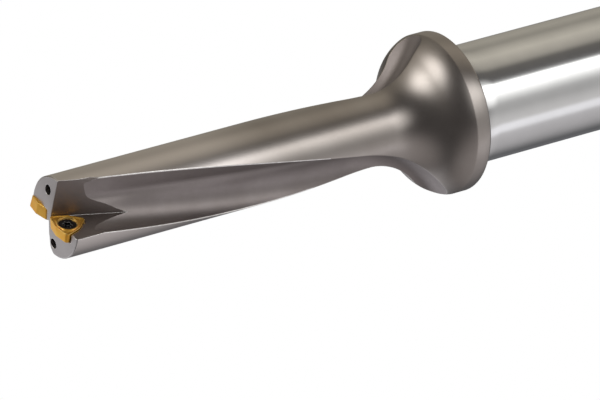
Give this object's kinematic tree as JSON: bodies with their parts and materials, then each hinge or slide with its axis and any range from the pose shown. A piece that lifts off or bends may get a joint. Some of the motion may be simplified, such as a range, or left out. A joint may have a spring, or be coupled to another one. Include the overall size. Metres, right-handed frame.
{
  "type": "indexable drill",
  "caption": "Indexable drill for shallow holes: fluted body with a flared collar and a plain round shank, and screwed-on trigon cutting inserts at the tip.",
  "frame": {"origin": "middle of the flat end of the shank, at the bottom of the standing drill", "axes": "+Z along the drill's axis from the shank's end to the tip; +X out along the central insert; +Y the way the central insert's rake face looks"},
  "size_m": [0.034, 0.034, 0.1525],
  "materials": {
    "body_steel": "satin bronze-grey body and collar, bright ground shank",
    "coated_carbide": "gold hard coating",
    "black_steel": "black oxide"
  },
  "bodies": {
    "root": {"drill_body": "body_steel", "central_insert": "coated_carbide", "peripheral_insert": "coated_carbide", "central_insert_screw": "black_steel", "peripheral_insert_screw": "black_steel"}
  },
  "joints": []
}
